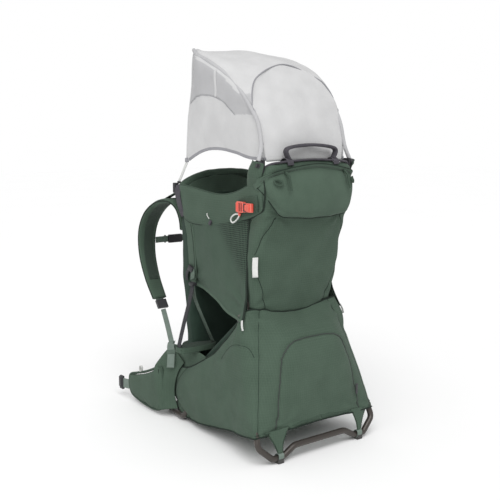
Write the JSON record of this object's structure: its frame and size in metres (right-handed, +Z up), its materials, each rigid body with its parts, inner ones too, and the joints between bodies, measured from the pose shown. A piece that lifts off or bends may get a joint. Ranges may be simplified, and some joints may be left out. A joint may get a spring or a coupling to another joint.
{
  "type": "framed child carrier backpack",
  "caption": "Framed backpack for carrying a seated child, with padded cockpit, hooped sunshade, wearer's harness, hip belt, foot stirrups and a folding kickstand.",
  "frame": {"origin": "on the ground under the middle of the object's box, in the plane of symmetry", "axes": "+Z up, +Y towards the wearer, -X the wearer's left"},
  "size_m": [0.414, 0.724, 1.036],
  "materials": {
    "frame_tube": "satin powder coat",
    "black_plastic": "moulded matte",
    "red_plastic": "moulded satin",
    "rubber": "matte",
    "pack_fabric": "ripstop weave",
    "lining_fabric": "knit lining",
    "mesh_fabric": "spacer mesh",
    "shade_fabric": "light woven",
    "dark_webbing": "woven webbing",
    "light_webbing": "woven webbing",
    "white_webbing": "woven webbing",
    "zip_tape": "coil zip"
  },
  "bodies": {
    "carrier": {"back_frame": "frame_tube", "base_bar": "frame_tube", "front_feet": "rubber", "frame_sleeves": "black_plastic", "rear_frame": "frame_tube", "frame_strut_left": "frame_tube", "frame_strut_right": "frame_tube", "kick_brackets": "black_plastic", "cockpit_rails": "frame_tube", "lower_compartment": "pack_fabric", "base_cover": "pack_fabric", "storage_body": "pack_fabric", "top_pocket": "pack_fabric", "pocket_zip": "zip_tape", "top_piping": "dark_webbing", "handle_loops": "dark_webbing", "front_rim_pad": "lining_fabric", "drool_pad": "lining_fabric", "back_panel": "mesh_fabric", "lumbar_pad": "mesh_fabric", "hip_roots": "pack_fabric", "strap_tabs": "pack_fabric", "side_receivers": "red_plastic", "pull_loops": "white_webbing", "anchor_hooks": "black_plastic", "cockpit_side_left": "pack_fabric", "cockpit_side_right": "pack_fabric", "side_mesh_left": "mesh_fabric", "side_mesh_right": "mesh_fabric", "shade_sockets": "black_plastic"},
    "kickstand": {"kickstand": "frame_tube", "kick_feet": "rubber"},
    "sunshade": {"shade_pole_left": "black_plastic", "shade_pole_right": "black_plastic", "shade_canopy": "shade_fabric", "shade_rear_panel": "shade_fabric", "shade_straps": "shade_fabric"},
    "harness": {"harness_yoke": "mesh_fabric", "shoulder_strap_left": "pack_fabric", "shoulder_strap_right": "pack_fabric", "strap_locks": "black_plastic", "harness_webbing": "light_webbing", "load_lifters": "light_webbing"},
    "sternum": {"sternum_strap": "light_webbing", "sternum_buckle": "black_plastic"},
    "seat": {"seat_pad": "lining_fabric", "seat_back_pad": "lining_fabric", "seat_harness": "dark_webbing"},
    "stirrup_left": {"stirrup_left": "pack_fabric"},
    "stirrup_right": {"stirrup_right": "pack_fabric"},
    "hip_left": {"hip_pad_left": "pack_fabric", "hip_belt_left": "light_webbing"},
    "hip_right": {"hip_pad_right": "pack_fabric", "hip_belt_right": "light_webbing"},
    "handle": {"haul_handle": "dark_webbing"},
    "clip_left": {"side_clip_left": "red_plastic"},
    "clip_right": {"side_clip_right": "red_plastic"},
    "pull_left": {"pocket_pull_left": "light_webbing"},
    "pull_right": {"pocket_pull_right": "light_webbing"},
    "lower_pull": {"lower_pull": "light_webbing"}
  },
  "joints": [
    {"name": "kickstand_fold", "type": "hinge", "parent": "carrier", "child": "kickstand", "pos_m": [0, -0.226, 0.34], "axis": [1, 0, 0], "range_deg": [0, 30], "deforming": ["lower_compartment"]},
    {"name": "shade_tip", "type": "hinge", "parent": "carrier", "child": "sunshade", "pos_m": [0, -0.288, 0.73], "axis": [1, 0, 0], "range_deg": [0, 25], "deforming": ["shade_rear_panel"]},
    {"name": "harness_height", "type": "slide", "parent": "carrier", "child": "harness", "axis": [0, 0, 1], "range_m": [-0.04, 0.04], "deforming": ["harness_webbing", "load_lifters"]},
    {"name": "sternum_height", "type": "slide", "parent": "harness", "child": "sternum", "axis": [0, 0, 1], "range_m": [-0.02, 0.02]},
    {"name": "seat_height", "type": "slide", "parent": "carrier", "child": "seat", "axis": [0, 0, 1], "range_m": [0, 0.06]},
    {"name": "stirrup_left_swing", "type": "hinge", "parent": "carrier", "child": "stirrup_left", "pos_m": [-0.156, -0.002, 0.4], "axis": [0, 1, 0], "range_deg": [-6, 40]},
    {"name": "stirrup_right_swing", "type": "hinge", "parent": "carrier", "child": "stirrup_right", "pos_m": [0.156, -0.002, 0.4], "axis": [0, 1, 0], "range_deg": [-40, 6]},
    {"name": "hip_left_fold", "type": "hinge", "parent": "carrier", "child": "hip_left", "pos_m": [-0.195, 0.113, 0.08], "axis": [0, 0, 1], "range_deg": [-30, 12]},
    {"name": "hip_right_fold", "type": "hinge", "parent": "carrier", "child": "hip_right", "pos_m": [0.195, 0.113, 0.08], "axis": [0, 0, 1], "range_deg": [-12, 30]},
    {"name": "handle_fold", "type": "hinge", "parent": "carrier", "child": "handle", "pos_m": [0, -0.307, 0.75], "axis": [1, 0, 0], "range_deg": [0, 80]},
    {"name": "clip_left_release", "type": "slide", "parent": "carrier", "child": "clip_left", "axis": [0, -1, 0], "range_m": [0, 0.02]},
    {"name": "clip_right_release", "type": "slide", "parent": "carrier", "child": "clip_right", "axis": [0, -1, 0], "range_m": [0, 0.02]},
    {"name": "pull_left_swing", "type": "hinge", "parent": "carrier", "child": "pull_left", "pos_m": [-0.096, -0.324, 0.712], "axis": [1, 0, 0], "range_deg": [-60, 0]},
    {"name": "pull_right_swing", "type": "hinge", "parent": "carrier", "child": "pull_right", "pos_m": [0.096, -0.324, 0.712], "axis": [1, 0, 0], "range_deg": [-60, 0]},
    {"name": "lower_pull_swing", "type": "hinge", "parent": "kickstand", "child": "lower_pull", "pos_m": [0.124, -0.3565, 0.151], "axis": [1, 0, 0], "range_deg": [-90, 0]}
  ]
}
